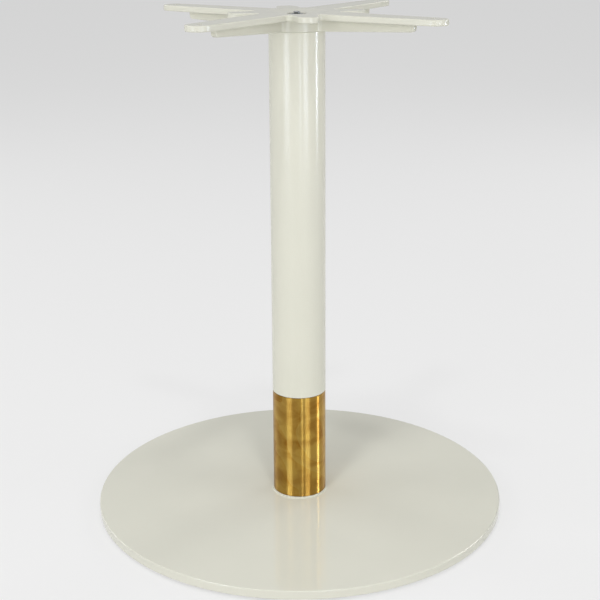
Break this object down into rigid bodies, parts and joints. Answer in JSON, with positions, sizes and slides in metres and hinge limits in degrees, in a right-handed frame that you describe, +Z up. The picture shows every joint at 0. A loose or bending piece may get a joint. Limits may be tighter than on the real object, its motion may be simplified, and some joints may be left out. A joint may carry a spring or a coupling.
{
  "type": "disc table base",
  "caption": "Round flat disc table base with a round column, a brass sleeve at its foot and a cast cross-shaped spider for the table top.",
  "frame": {"origin": "on the floor under the middle of the disc, at the bottom of the glides", "axes": "+Z up along the column; the spider's arms lie on the diagonals between +X and +Y"},
  "size_m": [0.5799, 0.58, 0.705],
  "materials": {
    "cream_coat": "semi-gloss powder coat",
    "cream_casting": "semi-gloss powder coat",
    "brass": "brushed",
    "plain_steel": "bare tube",
    "zinc": "zinc plated",
    "nylon": "matte"
  },
  "bodies": {
    "root": {"base_disc": "cream_coat", "seat_ring": "cream_coat", "spigot_tube": "plain_steel", "brass_sleeve": "brass", "column_tube": "cream_coat", "top_spider": "cream_casting", "tie_rod": "zinc", "top_washer": "zinc", "top_nut": "zinc", "bottom_washer": "zinc", "bottom_nut": "zinc", "glide_pad_1": "nylon", "glide_stud_1": "zinc", "glide_pad_2": "nylon", "glide_stud_2": "zinc", "glide_pad_3": "nylon", "glide_stud_3": "zinc", "glide_pad_4": "nylon", "glide_stud_4": "zinc"}
  },
  "joints": []
}
